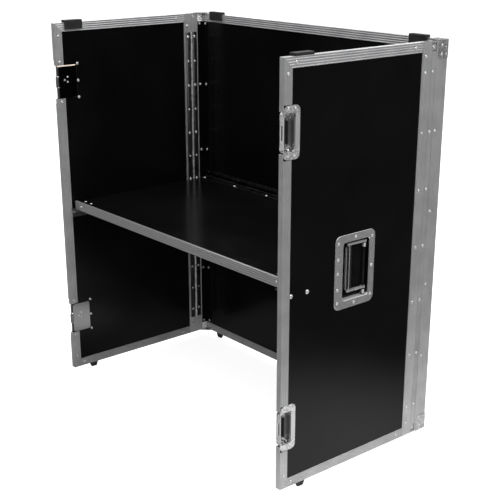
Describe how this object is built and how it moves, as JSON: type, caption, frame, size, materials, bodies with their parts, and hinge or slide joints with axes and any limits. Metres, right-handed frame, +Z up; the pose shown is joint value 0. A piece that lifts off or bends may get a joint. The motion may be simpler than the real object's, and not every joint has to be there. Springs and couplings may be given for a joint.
{
  "type": "dj booth",
  "caption": "Fold-out flight-case style DJ booth: hinged black wings on a shallow fascia tray, a fold-up shelf, recessed latches and a sprung carrying handle.",
  "frame": {"origin": "on the floor under the middle of the booth's outline", "axes": "+X to the user's right, +Y from the open front to the fascia, +Z up"},
  "size_m": [0.841, 0.457, 0.914],
  "materials": {
    "black_laminate": "black resin laminate on plywood, fine pebbled surface",
    "aluminium_profile": "satin anodised extrusion with fine lengthwise ribs",
    "brace_steel": "zinc plated pressed sheet",
    "zinc_steel": "bright zinc plate with soft brushing",
    "bracket_steel": "black satin paint on folded steel",
    "hinge_steel": "black gloss plated piano hinge",
    "black_rubber": "moulded matte rubber"
  },
  "bodies": {
    "booth_frame": {"catch_strikes": "zinc_steel", "corner_braces": "brace_steel", "fascia_bottom_rail": "aluminium_profile", "fascia_panel": "black_laminate", "fascia_top_rail": "aluminium_profile", "handle_dish": "zinc_steel", "handle_liner": "black_rubber", "handle_rod": "zinc_steel", "handle_springs": "zinc_steel", "left_corner_angle": "aluminium_profile", "left_hinge_pin": "hinge_steel", "left_hinge_return_leaf": "hinge_steel", "left_hinge_wing_leaf": "hinge_steel", "left_return_board": "black_laminate", "left_return_edge": "aluminium_profile", "left_shelf_bracket": "bracket_steel", "left_wing_bottom_rail": "aluminium_profile", "left_wing_front_rail": "aluminium_profile", "left_wing_hinge_profile": "aluminium_profile", "left_wing_panel": "black_laminate", "left_wing_top_rail": "aluminium_profile", "lower_catch_dish": "zinc_steel", "lower_latch_dish": "zinc_steel", "return_caps": "aluminium_profile", "right_corner_angle": "aluminium_profile", "right_hinge_pin": "hinge_steel", "right_hinge_return_leaf": "hinge_steel", "right_hinge_wing_leaf": "hinge_steel", "right_return_board": "black_laminate", "right_return_edge": "aluminium_profile", "right_shelf_bracket": "bracket_steel", "right_wing_bottom_rail": "aluminium_profile", "right_wing_front_rail": "aluminium_profile", "right_wing_hinge_profile": "aluminium_profile", "right_wing_panel": "black_laminate", "right_wing_top_rail": "aluminium_profile", "rubber_feet": "black_rubber", "shelf_bracket_bolts": "bracket_steel", "shelf_hinge_fascia_leaf": "hinge_steel", "shelf_hinge_pin": "hinge_steel", "top_pads": "black_rubber", "upper_catch_dish": "zinc_steel", "upper_latch_dish": "zinc_steel"},
    "shelf": {"shelf_board": "black_laminate", "shelf_front_edge": "aluminium_profile", "shelf_hinge_shelf_leaf": "hinge_steel"},
    "handle": {"handle_bail": "zinc_steel", "handle_grip": "zinc_steel"},
    "upper_drum": {"upper_latch_drum": "zinc_steel"},
    "upper_front_key": {"upper_latch_front_wing": "zinc_steel"},
    "upper_rear_key": {"upper_latch_rear_wing": "zinc_steel"},
    "upper_hook": {"upper_latch_hook": "zinc_steel"},
    "lower_drum": {"lower_latch_drum": "zinc_steel"},
    "lower_front_key": {"lower_latch_front_wing": "zinc_steel"},
    "lower_rear_key": {"lower_latch_rear_wing": "zinc_steel"},
    "lower_hook": {"lower_latch_hook": "zinc_steel"}
  },
  "joints": [
    {"name": "shelf_fold", "type": "hinge", "parent": "booth_frame", "child": "shelf", "pos_m": [0, 0.216, 0.4705], "axis": [-1, 0, 0], "range_deg": [0, 90]},
    {"name": "handle_swing", "type": "hinge", "parent": "booth_frame", "child": "handle", "pos_m": [0.4117, 0.0063, 0.459], "axis": [0, 0, 1], "range_deg": [0, 90], "stiffness_Nm_per_rad": 0.15},
    {"name": "upper_latch_turn", "type": "hinge", "parent": "booth_frame", "child": "upper_drum", "pos_m": [-0.4114, -0.1985, 0.768], "axis": [-1, 0, 0], "range_deg": [0, 180]},
    {"name": "upper_key_front", "type": "hinge", "parent": "upper_drum", "child": "upper_front_key", "pos_m": [-0.415, -0.2001, 0.768], "axis": [0, 0, -1], "range_deg": [0, 90]},
    {"name": "upper_key_rear", "type": "hinge", "parent": "upper_drum", "child": "upper_rear_key", "pos_m": [-0.415, -0.1969, 0.768], "axis": [0, 0, 1], "range_deg": [0, 90]},
    {"name": "upper_hook_slide", "type": "slide", "parent": "booth_frame", "child": "upper_hook", "axis": [0, -1, 0], "range_m": [0, 0.008]},
    {"name": "lower_latch_turn", "type": "hinge", "parent": "booth_frame", "child": "lower_drum", "pos_m": [-0.4114, -0.1985, 0.153], "axis": [-1, 0, 0], "range_deg": [0, 180]},
    {"name": "lower_key_front", "type": "hinge", "parent": "lower_drum", "child": "lower_front_key", "pos_m": [-0.415, -0.2001, 0.153], "axis": [0, 0, -1], "range_deg": [0, 90]},
    {"name": "lower_key_rear", "type": "hinge", "parent": "lower_drum", "child": "lower_rear_key", "pos_m": [-0.415, -0.1969, 0.153], "axis": [0, 0, 1], "range_deg": [0, 90]},
    {"name": "lower_hook_slide", "type": "slide", "parent": "booth_frame", "child": "lower_hook", "axis": [0, -1, 0], "range_m": [0, 0.008]}
  ],
  "couplings": [
    {"joint": "upper_key_rear", "follows": "upper_key_front", "ratio": 1},
    {"joint": "upper_hook_slide", "follows": "upper_latch_turn", "m_per_rad": 0.002546},
    {"joint": "lower_key_rear", "follows": "lower_key_front", "ratio": 1},
    {"joint": "lower_hook_slide", "follows": "lower_latch_turn", "m_per_rad": 0.002546}
  ]
}
